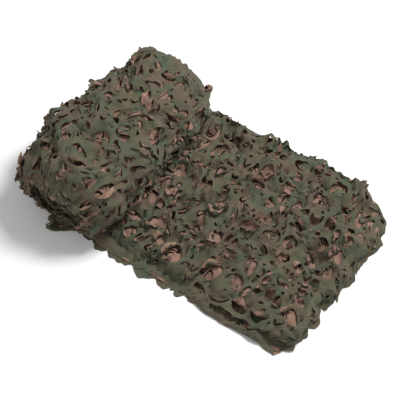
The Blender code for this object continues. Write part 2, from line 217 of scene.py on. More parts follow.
# How much the web beside a cut is sunk or raised, and how far from the cut, in cells.
RELIEF = (-0.012, 0.007)
RELIEF_REACH = 0.1
# How much cells, and the tongues in them, differ in tint.
CELL_TINT = 0.13
LEAF_TINT = 0.18

# Each soft unevenness: the length of its waves and the seed of its draws.
SWAY_WAVES = (1.0, 401)
SWELL_WAVES = (0.19, 402)
LUMP_WAVES = (0.2, 403)
ROLL_HANG_WAVES = (0.25, 404)
WARP_ALONG_WAVES = (0.17, 501)
WARP_ACROSS_WAVES = (0.17, 502)
LOBE_WAVES = (0.3, 503)
END_LOBE_WAVES = (0.3, 504)
CRUMPLE_WAVES = (0.09, 505)
FINE_CRUMPLE_WAVES = (0.038, 506)
CELL_SEED = 7

# The cloth's three tones on its face and on its back.
FACE_TONES = ((0.104, 0.079, 0.053), (0.083, 0.078, 0.047), (0.067, 0.08, 0.049))
BACK_TONES = ((0.165, 0.1, 0.071), (0.262, 0.155, 0.116), (0.205, 0.13, 0.086))
TONE_STOPS = (0.38, 0.5, 0.62)
FACE_SEED = 1.0
BACK_SEED = 5.0
SHARP_ANGLE = radians(60.0)

# How far past a fold the tongues get low: on the loose end and on the roll.
TOP_FADE = 0.04
SKIN_FADE = 0.03
# Points of the chart this near are one. The other bounds keep the sums sound.
WELD = 1e-5
TINY = 1e-6
LEAST_ANGLE = 1e-4
LEAST_NORMAL = 1e-9
LEAST_TOTAL = 1e-12
FAR_OFF = 9.0


def smooth(low, high, value):
    share = np.clip((value - low) / (high - low), 0.0, 1.0)
    return share * share * (3.0 - 2.0 * share)


def fade(low, high, value):
    return 1.0 - smooth(low, high, value)


def blend(low, high, share):
    return low + (high - low) * share


def ripple(columns, length, seed, waves=8):
    """A soft unevenness, mostly from -1 to 1, with waves of about one length."""
    dice = np.random.default_rng(seed)
    total = np.zeros(len(columns[0]))
    for _ in range(waves):
        direction = dice.normal(size=len(columns))
        direction /= np.linalg.norm(direction)
        rate = 2.0 * pi / length * dice.uniform(0.7, 1.5)
        distance = sum(part * column for part, column in zip(direction, columns))
        total += np.sin(rate * distance + dice.uniform(0.0, 2.0 * pi))
    return total / sqrt(waves)


def add_object(name, data):
    made = bpy.data.objects.new(name, data)
    bpy.context.scene.collection.objects.link(made)
    return made


# Camera, light and floor.


def add_camera():
    """The camera, at the photo's angle and scale."""
    azimuth = radians(36.8)
    down = radians(55.3)
    distance = 4.6
    pixels_per_metre = 333.5
    picture_width = 400.0
    aim = Vector((-0.032, -0.001, 0.013))
    right = Vector((cos(azimuth), sin(azimuth), 0.0))
    level = cos(down)
    forward = Vector((-sin(azimuth) * level, cos(azimuth) * level, -sin(down)))
    up = right.cross(forward)
    lens = bpy.data.cameras.new("camera")
    lens.sensor_width = 36.0
    lens.lens = lens.sensor_width * pixels_per_metre * distance / picture_width
    camera = add_object("camera", lens)
    turn = Matrix((right, up, -forward)).transposed().to_4x4()
    camera.matrix_world = Matrix.Translation(aim - forward * distance) @ turn
    bpy.context.scene.camera = camera


def add_lights():
    """A soft lamp above and behind, a weak one in front, and an even white world."""
    target = Vector((0.0, 0.0, 0.1))
    for name, place, size, power in (
        ("key", (0.60, 1.20, 2.60), 0.9, 92.0),
        ("fill", (-0.6, -1.8, 1.4), 1.6, 8.0),
    ):
        lamp = bpy.data.lights.new(name, "AREA")
        lamp.size = size
        lamp.energy = power
        body = add_object(name, lamp)
        body.location = place
        body.rotation_euler = (target - Vector(place)).to_track_quat("-Z", "Y").to_euler()
    world = bpy.data.worlds.new("studio")
    world.use_nodes = True
    background = world.node_tree.nodes["Background"]
    background.inputs["Color"].default_value = (1.0, 1.0, 1.0, 1.0)
    background.inputs["Strength"].default_value = 0.37
    bpy.context.scene.world = world
    bpy.context.scene.view_settings.view_transform = "Standard"


def add_floor():
    """A plain pale floor, a little below the net."""
    reach = 6.0
    corners = [(-reach, -reach, 0), (reach, -reach, 0), (reach, reach, 0), (-reach, reach, 0)]
    mesh = bpy.data.meshes.new("floor")
    mesh.from_pydata(corners, [], [(0, 1, 2, 3)])
    floor = add_object("floor", mesh)
    floor.location.z = -0.001
    paint = bpy.data.materials.new("floor")
    paint.use_nodes = True
    surface = paint.node_tree.nodes["Principled BSDF"]
    surface.inputs["Base Color"].default_value = (0.95, 0.95, 0.95, 1.0)
    surface.inputs["Roughness"].default_value = 0.8
    mesh.materials.append(paint)


# Materials.


def cloth_material(name, tones, seed):
    """Matt woven cloth in three tones, with soft blotches, a tint for each leaf and its weave."""
    material = bpy.data.materials.new(name)
    material.use_nodes = True
    nodes = material.node_tree.nodes
    links = material.node_tree.links
    surface = nodes["Principled BSDF"]

    def node(kind, **values):
        made = nodes.new("ShaderNode" + kind)
        for key, value in values.items():
            if key in made.inputs:
                made.inputs[key].default_value = value
            else:
                setattr(made, key, value)
        return made

    def noise(vector, **values):
        made = node("TexNoise", **values)
        links.new(vector, made.inputs["Vector"])
        return made.outputs["Fac"]

    def around_one(source, reach):
        """A factor round 1, from a value between 0 and 1."""
        made = node("MapRange")
        made.inputs["To Min"].default_value = 1.0 - reach
        made.inputs["To Max"].default_value = 1.0 + reach
        links.new(source, made.inputs["Value"])
        return made.outputs["Result"]

    def combine(operation, one, two):
        made = node("Math", operation=operation)
        links.new(one, made.inputs[0])
        links.new(two, made.inputs[1])
        return made.outputs["Value"]

    def bump(height, strength, distance, normal=None):
        made = node("Bump", Strength=strength, Distance=distance)
        links.new(height, made.inputs["Height"])
        if normal:
            links.new(normal, made.inputs["Normal"])
        return made.outputs["Normal"]

    place = node("TexCoord").outputs["Object"]
    weave_uv = node("UVMap", uv_map="weave").outputs["UV"]
    leaf_tint = node("Attribute", attribute_name="leaf_tint").outputs["Fac"]

    own = {"noise_dimensions": "4D", "W": seed}
    blotches = noise(place, **own, Scale=17.0, Detail=3.0, Roughness=0.55, Distortion=0.6)
    ramp = node("ValToRGB")
    first, last = ramp.color_ramp.elements
    first.position = TONE_STOPS[0]
    first.color = (*tones[0], 1.0)
    last.position = TONE_STOPS[2]
    last.color = (*tones[2], 1.0)
    ramp.color_ramp.elements.new(TONE_STOPS[1]).color = (*tones[1], 1.0)
    links.new(blotches, ramp.inputs["Fac"])

    stretched = node("Mapping", Scale=(55.0, 700.0, 1.0))
    links.new(weave_uv, stretched.inputs["Vector"])
    dust = around_one(noise(place, Scale=150.0, Detail=4.0, Roughness=0.6), 0.18)
    streaks = around_one(noise(stretched.outputs["Vector"], Scale=1.0, Detail=3.0, Roughness=0.6), 0.34)
    grain = combine("MULTIPLY", dust, streaks)
    shade = combine("MULTIPLY", around_one(leaf_tint, 0.26), grain)
    tinted = node("VectorMath", operation="SCALE")
    links.new(ramp.outputs["Color"], tinted.inputs[0])
    links.new(shade, tinted.inputs["Scale"])
    links.new(tinted.outputs["Vector"], surface.inputs["Base Color"])

    threads = []
    for direction in ("X", "Y"):
        wave = node("TexWave", bands_direction=direction, Scale=260.0, Distortion=0.4, Detail=1.0)
        links.new(weave_uv, wave.inputs["Vector"])
        threads.append(wave.outputs["Fac"])
    creases = noise(place, Scale=60.0, Detail=3.0, Roughness=0.5, Distortion=0.8)
    woven = bump(combine("ADD", *threads), 0.25, 0.0004)
    links.new(bump(creases, 0.8, 0.005, woven), surface.inputs["Normal"])

    gloss = {"Roughness": 0.82, "Specular IOR Level": 0.25, "Sheen Weight": 0.08, "Sheen Roughness": 0.5}
    for key, value in gloss.items():
        surface.inputs[key].default_value = value
    return material


# The cutting dies. Each cut is an open curve round a leaf tongue. Each row: middle x and y, radius, direction
# of the tip and sweep in degrees, stretch towards the tip, widest gap. Lengths are in cells. A cut in a
# tongue comes first.
DIES = (
    ((0.5, 0.5, 0.18, 200, 238, 1.08, 0.05),
     (0.47, 0.5, 0.41, 20, 260, 1.04, 0.085),
     (0.9, 0.1, 0.075, 140, 225, 1.1, 0.03),
     (0.1, 0.9, 0.07, 320, 225, 1.1, 0.03)),
    ((0.265, 0.37, 0.22, 80, 240, 1.42, 0.075),
     (0.745, 0.61, 0.215, 262, 240, 1.42, 0.075),
     (0.23, 0.89, 0.088, 10, 225, 1.3, 0.035),
     (0.79, 0.11, 0.088, 190, 225, 1.3, 0.035)),
    ((0.45, 0.42, 0.15, 60, 225, 1.25, 0.045),
     (0.43, 0.4, 0.345, 60, 252, 1.2, 0.1),
     (0.13, 0.89, 0.088, 0, 225, 1.25, 0.035),
     (0.9, 0.82, 0.08, 275, 225, 1.3, 0.035),
     (0.89, 0.12, 0.08, 120, 225, 1.2, 0.03)),
    ((0.24, 0.27, 0.195, 60, 236, 1.25, 0.065),
     (0.74, 0.25, 0.19, 160, 236, 1.25, 0.065),
     (0.47, 0.76, 0.21, 278, 240, 1.2, 0.07),
     (0.87, 0.8, 0.095, 95, 225, 1.25, 0.035),
     (0.11, 0.8, 0.085, 85, 225, 1.25, 0.03)),
    ((0.26, 0.55, 0.205, 265, 234, 1.62, 0.075),
     (0.73, 0.43, 0.205, 92, 234, 1.62, 0.075),
     (0.19, 0.9, 0.082, 0, 225, 1.25, 0.03),
     (0.8, 0.1, 0.082, 185, 225, 1.25, 0.03)),
    ((0.5, 0.49, 0.165, 120, 240, 1.12, 0.055),
     (0.5, 0.49, 0.395, 300, 244, 1.06, 0.125),
     (0.11, 0.11, 0.08, 45, 225, 1.2, 0.03),
     (0.89, 0.89, 0.08, 225, 225, 1.2, 0.03)),
)
# Round the roll the cloth is taut, and these cuts open as crescents.
ROLL_DIES = (
    ((0.46, 0.12, 0.37, 88, 170, 0.8, 0.08),
     (0.54, 0.56, 0.36, 94, 170, 0.8, 0.08),
     (0.1, 0.53, 0.06, 90, 200, 1.2, 0.025)),
    ((0.29, 0.42, 0.24, 88, 176, 1.45, 0.08),
     (0.71, 0.58, 0.24, 272, 176, 1.45, 0.08),
     (0.79, 0.88, 0.07, 190, 200, 1.25, 0.025),
     (0.21, 0.12, 0.07, 10, 200, 1.25, 0.025)),
    ((0.5, 0.46, 0.4, 92, 176, 0.92, 0.1),
     (0.48, 0.46, 0.17, 300, 200, 1.25, 0.055),
     (0.25, 0.16, 0.14, 160, 190, 1.2, 0.045),
     (0.76, 0.17, 0.14, 20, 190, 1.15, 0.045)),
    ((0.4, 0.16, 0.33, 78, 172, 0.95, 0.085),
     (0.63, 0.74, 0.26, 200, 176, 1.1, 0.08),
     (0.15, 0.76, 0.09, 85, 200, 1.2, 0.03),
     (0.88, 0.2, 0.065, 90, 200, 1.2, 0.025)),
    ((0.41, 0.4, 0.29, 228, 176, 1.08, 0.085),
     (0.59, 0.61, 0.29, 48, 176, 1.08, 0.085),
     (0.83, 0.17, 0.105, 320, 200, 1.2, 0.035),
     (0.17, 0.83, 0.105, 140, 200, 1.2, 0.035)),
    ((0.27, 0.22, 0.21, 70, 184, 1.2, 0.07),
     (0.73, 0.24, 0.21, 120, 184, 1.2, 0.07),
     (0.5, 0.9, 0.37, 272, 170, 0.78, 0.085)),
)
# On the loose end the cloth is slack, and its cuts gape this much wider.
SLACK = 1.35
# Along its edges the net is plainer: these dies keep away from one side of the cell.
EDGE_DIE = ((0.5, 0.74, 0.15, 265, 232, 1.15, 0.05), (0.2, 0.55, 0.075, 80, 225, 1.25, 0.03))
MARGIN_DIE = (
    (0.42, 0.66, 0.215, 290, 238, 1.2, 0.07),
    (0.84, 0.76, 0.105, 80, 228, 1.3, 0.04),
    (0.85, 0.38, 0.085, 200, 225, 1.25, 0.035),
    (0.13, 0.36, 0.07, 80, 225, 1.25, 0.03),
)
LONG_DIE = ((0.5, 0.58, 0.44, 264, 186, 0.72, 0.04), (0.5, 0.88, 0.07, 180, 225, 1.6, 0.03))
PEEK_DIE = (
    (0.27, 0.28, 0.13, 100, 205, 1.25, 0.045),
    (0.72, 0.24, 0.12, 62, 205, 1.3, 0.045),
    (0.5, 0.68, 0.16, 280, 220, 1.3, 0.06),
)
# The dies for single places come after those six.
LONG_CUT, PEEK_CUT, MARGIN_CUT, EDGE_CUT = range(len(DIES), len(DIES) + 4)
# A tongue's slight point: how far it stands out and how narrow it is. And how round a gap's ends are.
TIP_POINT = 0.1
TIP_NARROW = 8
GAP_ROUND = 0.7
# How finely the cloth is meshed: steps along a cell's side, and the length of a step along a cut, inside a
# tongue and in the web.
FINE = (8, 0.058, 0.056, 0.112)
COARSE = (4, 0.16, 0.23, 0.3)
# How far a new point stays from others, in steps: in a tongue and in the web. Less from the sides.
RING_ROOM = 0.62
GRID_ROOM = 0.5
SIDE_ROOM = 0.3
# How far the web's points shift from their grid, by rows and by chance, and a tongue's smallest ring.
GRID_SHIFT = 0.25
GRID_CHANCE = 0.18
LEAST_RING = 0.2


class Die:
    """One cell's flat mesh: its points and triangles, and each point's tongues and way to each cut."""

    def __init__(self, cuts, steps, seed):
        side_steps, cut_step, ring_step, grid_step = steps
        dice = np.random.default_rng(seed)
        points = []
        edges = []
        owners = []

        def add_loop(loop, owner_sets):
            first = len(points)
            count = len(loop)
            points.extend(loop)
            owners.extend(owner_sets)
            edges.extend((first + k, first + (k + 1) % count) for k in range(count))

        def add_clear(spots, room):
            """Adds the spots that lie clear of the points there are."""
            side_room = SIDE_ROOM * room
            for spot in spots:
                nearest = np.linalg.norm(np.array(points) - spot, axis=1).min()
                if nearest > room and side_room < min(spot) and max(spot) < 1.0 - side_room:
                    points.append(tuple(spot))
                    owners.append(set())

        square = []
        for corner, way in (((0, 0), (1, 0)), ((1, 0), (0, 1)), ((1, 1), (-1, 0)), ((0, 1), (0, -1))):
            for k in range(side_steps):
                square.append((corner[0] + way[0] * k / side_steps, corner[1] + way[1] * k / side_steps))
        add_loop(square, [set() for _ in square])
        self.cuts = cuts
        lines = [self.lines(cut, cut_step) for cut in cuts]
        holes = [outer + inner[-2:0:-1] for outer, inner in lines]
        tongues = [inner for _, inner in lines]
        for index, hole in enumerate(holes):
            count = len(tongues[index])
            add_loop(hole, [set() for _ in range(count)] + [{index} for _ in range(count - 2)])
        for cut, tongue in zip(cuts, tongues):
            middle = np.array(cut[:2])
            share = 1.0 - ring_step / cut[2]
            while share > LEAST_RING:
                ring = [middle + (np.array(spot) - middle) * share for spot in tongue[1:-1]]
                add_clear(ring, RING_ROOM * ring_step)
                share -= ring_step / cut[2]
        grid = range(1, round(1.0 / grid_step))
        for i in grid:
            for j in grid:
                shift = GRID_SHIFT * grid_step * (1 if j % 2 else -1)
                chance = dice.uniform(-GRID_CHANCE, GRID_CHANCE, 2) * grid_step
                spot = np.array((i * grid_step + shift, j * grid_step)) + chance
                add_clear([spot], GRID_ROOM * grid_step)
        for index, tongue in enumerate(tongues):
            for spot, owner in zip(points, owners):
                if inside(spot, tongue) and spot not in (tongue[0], tongue[-1]):
                    owner.add(index)

        vectors = [Vector(spot) for spot in points]
        found, _, triangles, sources, _, _ = delaunay_2d_cdt(vectors, edges, [], 0, TINY)
        self.points = np.array([tuple(spot) for spot in found])
        kept = []
        for triangle in triangles:
            centre = tuple(self.points[list(triangle)].mean(axis=0))
            if not any(inside(centre, hole) for hole in holes):
                kept.append(tuple(triangle))
        self.triangles = np.array(kept)
        self.members = np.zeros((len(self.points), len(cuts)), bool)
        for k, source in enumerate(sources):
            for index in owners[source[0]] if source else ():
                self.members[k, index] = True
        reaches = []
        for outer, _ in lines:
            ways = self.points[:, None, :] - np.array(outer)[None, :, :]
            reaches.append(np.linalg.norm(ways, axis=2).min(axis=1))
        self.cut_reach = np.column_stack(reaches)

    @staticmethod
    def lines(cut, cut_step):
        """A cut's outer line and its inner line, which is the tongue's own outline."""
        x, y, radius, direction, sweep, stretch, gap = cut
        turn = radians(direction)
        ahead = np.array((cos(turn), sin(turn)))
        aside = np.array((-sin(turn), cos(turn)))
        steps = ceil(radius * radians(sweep) / cut_step)
        outer = []
        inner = []
        for k in range(steps + 1):
            share = k / steps
            angle = radians(sweep) * (share - 0.5)
            pointed = 1.0 + TIP_POINT * max(0.0, cos(angle)) ** TIP_NARROW
            wide = gap * sin(pi * share) ** GAP_ROUND
            for line, reach in ((outer, radius), (inner, radius - wide)):
                spot = ahead * reach * pointed * stretch * cos(angle) + aside * reach * sin(angle)
                line.append((float(x + spot[0]), float(y + spot[1])))
        return outer, inner


def inside(point, outline):
    """Whether a point lies inside a closed outline."""
    x, y = point
    hit = False
    for (x0, y0), (x1, y1) in zip(outline, outline[1:] + outline[:1]):
        if (y0 > y) != (y1 > y) and x < x0 + (x1 - x0) * (y - y0) / (y1 - y0):
            hit = not hit
    return hit


SLACK_DIES = [[(*cut[:-1], SLACK * cut[-1]) for cut in cuts] for cuts in DIES]
PLACE_DIES = (LONG_DIE, PEEK_DIE, MARGIN_DIE, EDGE_DIE)
DIES_SLACK = [Die(cuts, FINE, k) for k, cuts in enumerate((*SLACK_DIES, *PLACE_DIES))]
DIES_TIGHT = [Die(cuts, FINE, k) for k, cuts in enumerate((*ROLL_DIES, *PLACE_DIES))]
DIES_COARSE = [Die(cuts, COARSE, k) for k, cuts in enumerate((*DIES, *PLACE_DIES))]


# The leaf tongues, from and to: where the rim curls most, how far round and how tightly it curls, how
# tightly the root bends, standing or folded, and the cup. Then the share of the length that is cupped, and
# the root angle past which one folds back.
TOWARD = (-0.7, 0.7)
SPREAD = (0.9, 1.5)
CURL_TIGHT = (0.15, 0.35)
STAND_TIGHT = (0.6, 1.0)
FOLD_TIGHT = (0.35, 0.55)
CUP = (-0.006, 0.005)
CUP_RUN = 0.6
FOLDS_BACK = 90.0
# How the tongues stand. Each row: share of the tongues, and from and to for the angle at the root, the angle
# that the rim curls through, both in degrees, and the share of the radius that curls.
LOOSE_STYLES = (
    (0.38, (4, 34), (145, 190), (0.75, 1.3)),
    (0.1, (40, 95), (40, 150), (0.6, 1.1)),
    (0.08, (-44, -14), (-10, 140), (0.5, 1)),
    (0.42, (125, 170), (-60, 20), (0.4, 0.9)),
    (0.02, (15, 45), (-120, -60), (0.35, 0.6)),
)
ROLL_STYLES = (
    (0.42, (4, 30), (150, 190), (0.8, 1.3)),
    (0.06, (30, 75), (10, 100), (0.4, 0.8)),
    (0.48, (138, 170), (-50, 20), (0.4, 0.8)),
    (0.04, (-16, -5), (0, 140), (0.4, 0.8)),
)
CALM_STYLES = (
    (0.7, (3, 22), (146, 188), (0.65, 1.15)),
    (0.04, (30, 70), (10, 90), (0.4, 0.8)),
    (0.21, (138, 168), (-50, 20), (0.4, 0.8)),
    (0.05, (-16, -5), (0, 140), (0.4, 0.8)),
)
BRISTLE_STYLES = (
    (0.3, (3, 22), (145, 185), (0.6, 1.1)),
    (0.45, (40, 95), (-40, 60), (0.4, 0.8)),
    (0.25, (138, 168), (-50, 20), (0.4, 0.8)),
)
EDGE_STYLES = (
    (0.25, (0, 12), (90, 165), (0.35, 0.7)),
    (0.75, (-5, 8), (-10, 30), (0.3, 0.6)),
)
RIM_STYLES = (
    (0.45, (2, 18), (140, 185), (0.6, 1.1)),
    (0.25, (130, 165), (-40, 20), (0.4, 0.8)),
    (0.3, (-12, 8), (-10, 60), (0.3, 0.6)),
)
PEEK_STYLES = (
    (0.6, (2, 10), (140, 182), (0.6, 1.05)),
    (0.4, (-6, 6), (-10, 40), (0.3, 0.6)),
)
FOLD_STYLES = ((1, (-3, 5), (0, 15), (0.3, 0.6)),)
HIDDEN_STYLES = ((1, (-14, 10), (-30, 30), (0.4, 0.8)),)
# The largest leaves, rings and openings, where the photo has them. Each row: the cell's column and row, its
# die and quarter turns, and its largest tongue's root angle, rim angle and share that curls.
PLACED = {
    (3, 8): (2, 0, 6, 178, 0.8),
    (4, 6): (2, 0, 8, 175, 0.75),
    (5, 6): (3, 0, 158, -10, 0.5),
    (2, 7): (2, 3, 10, 175, 0.9),
    (0, 4): (2, 1, 4, 178, 1.1),
    (2, 0): (LONG_CUT, 0, 132, 50, 0.6),
    (3, 0): (LONG_CUT, 0, 128, 50, 0.6),
    (1, 8): (5, 0, -34, 60, 0.8),
    (2, 8): (3, 1, -34, 60, 0.8),
    (4, 0): (LONG_CUT, 0, -30, 30, 0.4),
    (5, 0): (2, 0, 4, 170, 0.9),
    (6, 4): (0, 2, 2, 8, 0.4),
    (3, 4): (5, 1, -34, 110, 0.9),
    (2, 5): (2, 1, -32, 130, 1),
    (3, 3): (4, 1, -36, 90, 0.9),
    (4, 3): (5, 3, -30, 60, 0.8),
    (6, 5): (2, 3, -34, 60, 0.8),
    (4, 1): (0, 1, 4, 178, 0.8),
    (2, 2): (2, 2, 10, 172, 0.9),
    (19, 11): (3, 1, 148, 20, 0.6),
    (19, 14): (1, 0, 148, 20, 0.6),
    (21, 11): (2, 0, 150, -20, 0.5),
    (20, 13): (4, 1, 152, -20, 0.5),
    (21, 13): (2, 3, 150, -20, 0.5),
    (21, 14): (0, 1, 148, -20, 0.5),
    (20, 14): (2, 1, 10, 172, 1),
    (22, 15): (4, 2, 150, -10, 0.5),
    (23, 13): (0, 0, 152, -20, 0.5),
    (23, 18): (2, 1, 150, -10, 0.5),
    (23, 10): (1, 1, 155, -20, 0.5),
    (24, 17): (3, 2, 155, -10, 0.5),
}


def turn_cell(points, quarter, mirror):
    """Points of a die, as it lies in its cell."""
    turned = (points - 0.5) * ((-1.0, 1.0) if mirror else (1.0, 1.0))
    for _ in range(quarter):
        turned = np.column_stack((-turned[:, 1], turned[:, 0]))
    return turned + 0.5


def roll_up(distance, height, angle, reach):
    """Where points at a height and a distance past a bend's start go, as the cloth turns up by an angle."""
    rate = copysign(max(abs(angle), LEAST_ANGLE), angle) / reach
    past = np.maximum(distance, 0.0)
    bent = np.minimum(past, reach)
    turned = rate * bent
    out = np.sin(turned) / rate + (past - bent) * np.cos(turned) - height * np.sin(turned)
    rise = (1.0 - np.cos(turned)) / rate + (past - bent) * np.sin(turned) + height * np.cos(turned)
    return np.minimum(distance, 0.0) + out, rise


class Tongue:
    """One leaf tongue as it lies in the chart."""

    def __init__(self, cut, quarter, mirror):
        x, y, radius, direction, sweep, stretch, gap = cut
        turn = radians(direction)
        spots = turn_cell(np.array(((x, y), (x + cos(turn), y + sin(turn)))), quarter, mirror)
        self.middle = spots[0] * CELL_SIZE
        self.ahead = spots[1] - spots[0]
        self.aside = np.array((-self.ahead[1], self.ahead[0]))
        self.radius = (radius - gap) * CELL
        self.stretch = stretch
        self.back = radius * CELL * stretch * cos(radians(sweep) / 2.0)
        self.length = self.radius * stretch * (1.0 + TIP_POINT) - self.back

    def curl(self, points, angle, toward, spread, width, tight):
        """Rolls up the rim: widest `toward` one direction, and none past `spread` to both sides of it."""
        ahead = (points[:, :2] - self.middle) @ self.ahead / self.stretch
        aside = (points[:, :2] - self.middle) @ self.aside
        reach = np.hypot(ahead, aside)
        way = np.arctan2(aside, ahead)
        window = np.cos(np.clip((way - toward) / spread, -1.0, 1.0) * pi / 2.0)
        start = self.radius * (1.0 - width * window)
        out, rise = roll_up(reach - start, points[:, 2], angle, tight * width * self.radius)
        reach = start + out
        flat = self.middle + np.outer(reach * np.cos(way) * self.stretch, self.ahead)
        return np.column_stack((flat + np.outer(reach * np.sin(way), self.aside), rise))

    def lift(self, points, angle, tight, cup):
        """Turns the whole tongue up about its root, cupped a little across."""
        ahead = (points[:, :2] - self.middle) @ self.ahead - self.back
        aside = (points[:, :2] - self.middle) @ self.aside
        height = points[:, 2] + cup * (aside / self.radius) ** 2 * smooth(0.0, CUP_RUN * self.length, ahead)
        out, rise = roll_up(ahead, height, angle, tight * self.length)
        flat = self.middle + np.outer(out + self.back, self.ahead) + np.outer(aside, self.aside)
        return np.column_stack((flat, rise))


def tongue_style(dice, styles):
    """Root angle, rim angle and the reach of the curl for one tongue."""
    pick = dice.uniform()
    for style in styles:
        if pick < style[0]:
            break
        pick -= style[0]
    return [dice.uniform(*ends) for ends in style[1:]]


# The form of the net.


def far_edge(x, depth):
    straight = blend(FAR_Y[0], FAR_Y[1], smooth(*FAR_BEND_X, x)) + FAR_OUT[depth]
    straight -= FAR_TUCK * fade(*TUCK_X, x)
    straight -= NOTCH * smooth(*NOTCH_START, x) * fade(*NOTCH_STOP, x)
    radius = FAR_RADIUS[depth]
    beyond = np.clip(x - (END_X - CORNER_SHARE * radius), 0.0, CORNER_STOP * radius)
    return straight - radius + np.sqrt(radius ** 2 - beyond ** 2)


def near_hang(x):
    """How far the top layer's near side hangs over, from 0 to 1."""
    return smooth(*NEAR_HANG_START, x) * blend(1.0, NEAR_HANG_LEFT, smooth(*NEAR_HANG_STOP, x))


def near_edge(x, depth):
    out = NEAR_OUT[depth] + PEEK[depth] * smooth(*PEEK_X, x)
    draw = np.where(depth == 0, NEAR_HANG * (1.0 - cos(NEAR_HANG_ANGLE)), -NEAR_TUCK_IN[depth])
    hang = near_hang(x) * draw
    return blend(NEAR_Y[0], NEAR_Y[1], x / END_X) - out - hang + NEAR_TUCK * fade(*TUCK_X, x)


def side_edges(along, depth):
    """Both long sides of the layer at a depth, on the loose end and round the roll."""
    x = np.maximum(along, CUT_X)
    wound = fade(*WOUND_X, along)
    sway = SWAY * ripple((along / SWAY_LENGTH, SWAY_SHIFT * depth), *SWAY_WAVES)
    lip = ROLL_HANG * (1.0 + ROLL_HANG_SWAY * ripple((along,), *ROLL_HANG_WAVES))
    lip = lip * (depth >= LAYERS - 2) * smooth(*ROLL_HANG_STOP, along)
    near = blend(near_edge(x, depth), ROLL_NEAR_Y + sway - lip, wound)
    far = blend(far_edge(x, depth), ROLL_FAR_Y + sway, wound)
    return near, far


def hang_over(past, length, angle):
    """How far cloth past an edge is drawn in and falls, as it hangs over that edge."""
    turned = angle * smooth(0.0, HANG_BEND * length, past)
    return past * (1.0 - np.cos(turned)), past * np.sin(turned)


def strip_place(x, y, depth):
    """A point of the loose end: depth counts the layers from the top down."""
    below = LAYERS - 1 - depth
    free = smooth(*LOFT_X, x)
    swell = SWELL * free * below / (LAYERS - 1) * ripple((x, y), *SWELL_WAVES)
    sag = LAYER_SAG * free * np.sin(pi * below / (LAYERS - 1))
    sunk = 1.0 - CORNER_SINK * smooth(*CORNER_SINK_X, x) * smooth(*CORNER_SINK_Y, y)
    z = CLOTH_MIDDLE + (below * blend(PITCH_UNDER, PITCH_FREE, free) + swell - sag) * sunk
    return np.column_stack((x, y, z))


def wound_depth(turns):
    """How many turns deep the cloth lies, from the turns that it has run round the roll."""
    return np.where(turns < 1.0, smooth(SEAT_TURN, 1.0, turns), turns)


def roll_place(turns, y, depth):
    """A point of the wound part."""
    share = np.clip((y - ROLL_NEAR_Y) / (ROLL_FAR_Y - ROLL_NEAR_Y), 0.0, 1.0)
    height = np.interp(share, ROLL_SHARE, ROLL_HEIGHT)
    half_width = np.interp(share, ROLL_SHARE, ROLL_WIDTH) / 2.0 + ROLL_LOFT
    half_height = height / 2.0 + ROLL_LOFT
    middle_z = height / 2.0 - ROLL_SINK
    angle = FLOOR_ANGLE - 2.0 * pi * turns
    cosine = np.cos(angle)
    sine = np.sin(angle)
    rim = 1.0 / np.hypot(cosine / half_width, sine / half_height)
    clear = np.where(turns > SEAT_TURN, middle_z - SEAT_Z, middle_z)
    rim = np.minimum(rim, np.where(sine < -TINY, clear / np.maximum(-sine, TINY), FAR_OFF))
    lump = ripple((rim * cosine, y, rim * sine), *LUMP_WAVES)
    rim = rim + ROLL_LUMP * lump * smooth(*LUMP_START, turns) * fade(*LUMP_STOP, turns)
    within = LAYERS - 1 - depth
    inward = TURN * wound_depth(turns) + (TURN - SKIN_GAP) / LAYERS * within
    inward = (inward + SKIN_GAP * np.minimum(within, 1.0)) / MIDDLE_RADIUS
    radius = rim * (1.0 - np.minimum(inward, HUB_SHARE))
    inset, fall = hang_over(np.maximum(ROLL_NEAR_Y - y, 0.0), ROLL_HANG, ROLL_HANG_ANGLE)
    y = y + inset
    radius = radius - fall - FAR_FALL * np.maximum(y - ROLL_FAR_Y, 0.0)
    z = middle_z + radius * sine
    hollow = END_HOLLOW * np.minimum(inward, 1.0) * (2.0 * share - 1.0)
    y = y + NEAR_LEAN * fade(0.0, NEAR_LEAN_SHARE, share) * (1.0 - z / height) - hollow
    return np.column_stack((radius * cosine, y, z))


def turns_of_length():
    """A table of the turns that the cloth has run against its length round the roll."""
    turns = np.linspace(0.0, MOST_TURNS, TURN_STEPS + 1)
    path = roll_place(turns, np.zeros(len(turns)), np.full(len(turns), MEASURED_DEPTH))
    steps = np.linalg.norm(np.diff(path, axis=0), axis=1)
    deep = (TURN * wound_depth(turns) + TURN) / MIDDLE_RADIUS
    last = np.searchsorted(deep, HUB_SHARE)
    return turns[:last], np.concatenate(([0.0], np.cumsum(steps)))[:last]


TURN_TABLE, LENGTH_TABLE = turns_of_length()
WOUND_LENGTH = float(LENGTH_TABLE[-1])
FIRST_TURN_LENGTH = float(np.interp(1.0, TURN_TABLE, LENGTH_TABLE))


def layer_and_fold(across):
    """Which layer points of the chart lie in, and how far each is round the fold after it, from 0 to 1."""
    layer = np.clip(np.searchsorted(STARTS, across, side="right") - 1, 0, LAYERS - 1)
    arc = np.where(layer == 0, OUTER_ARC, INNER_ARC)
    fold = np.clip((across - STARTS[layer] - STRIP_WIDTH) / arc, 0.0, 1.0)
    return layer, np.where(layer < LAYERS - 1, fold, 0.0)


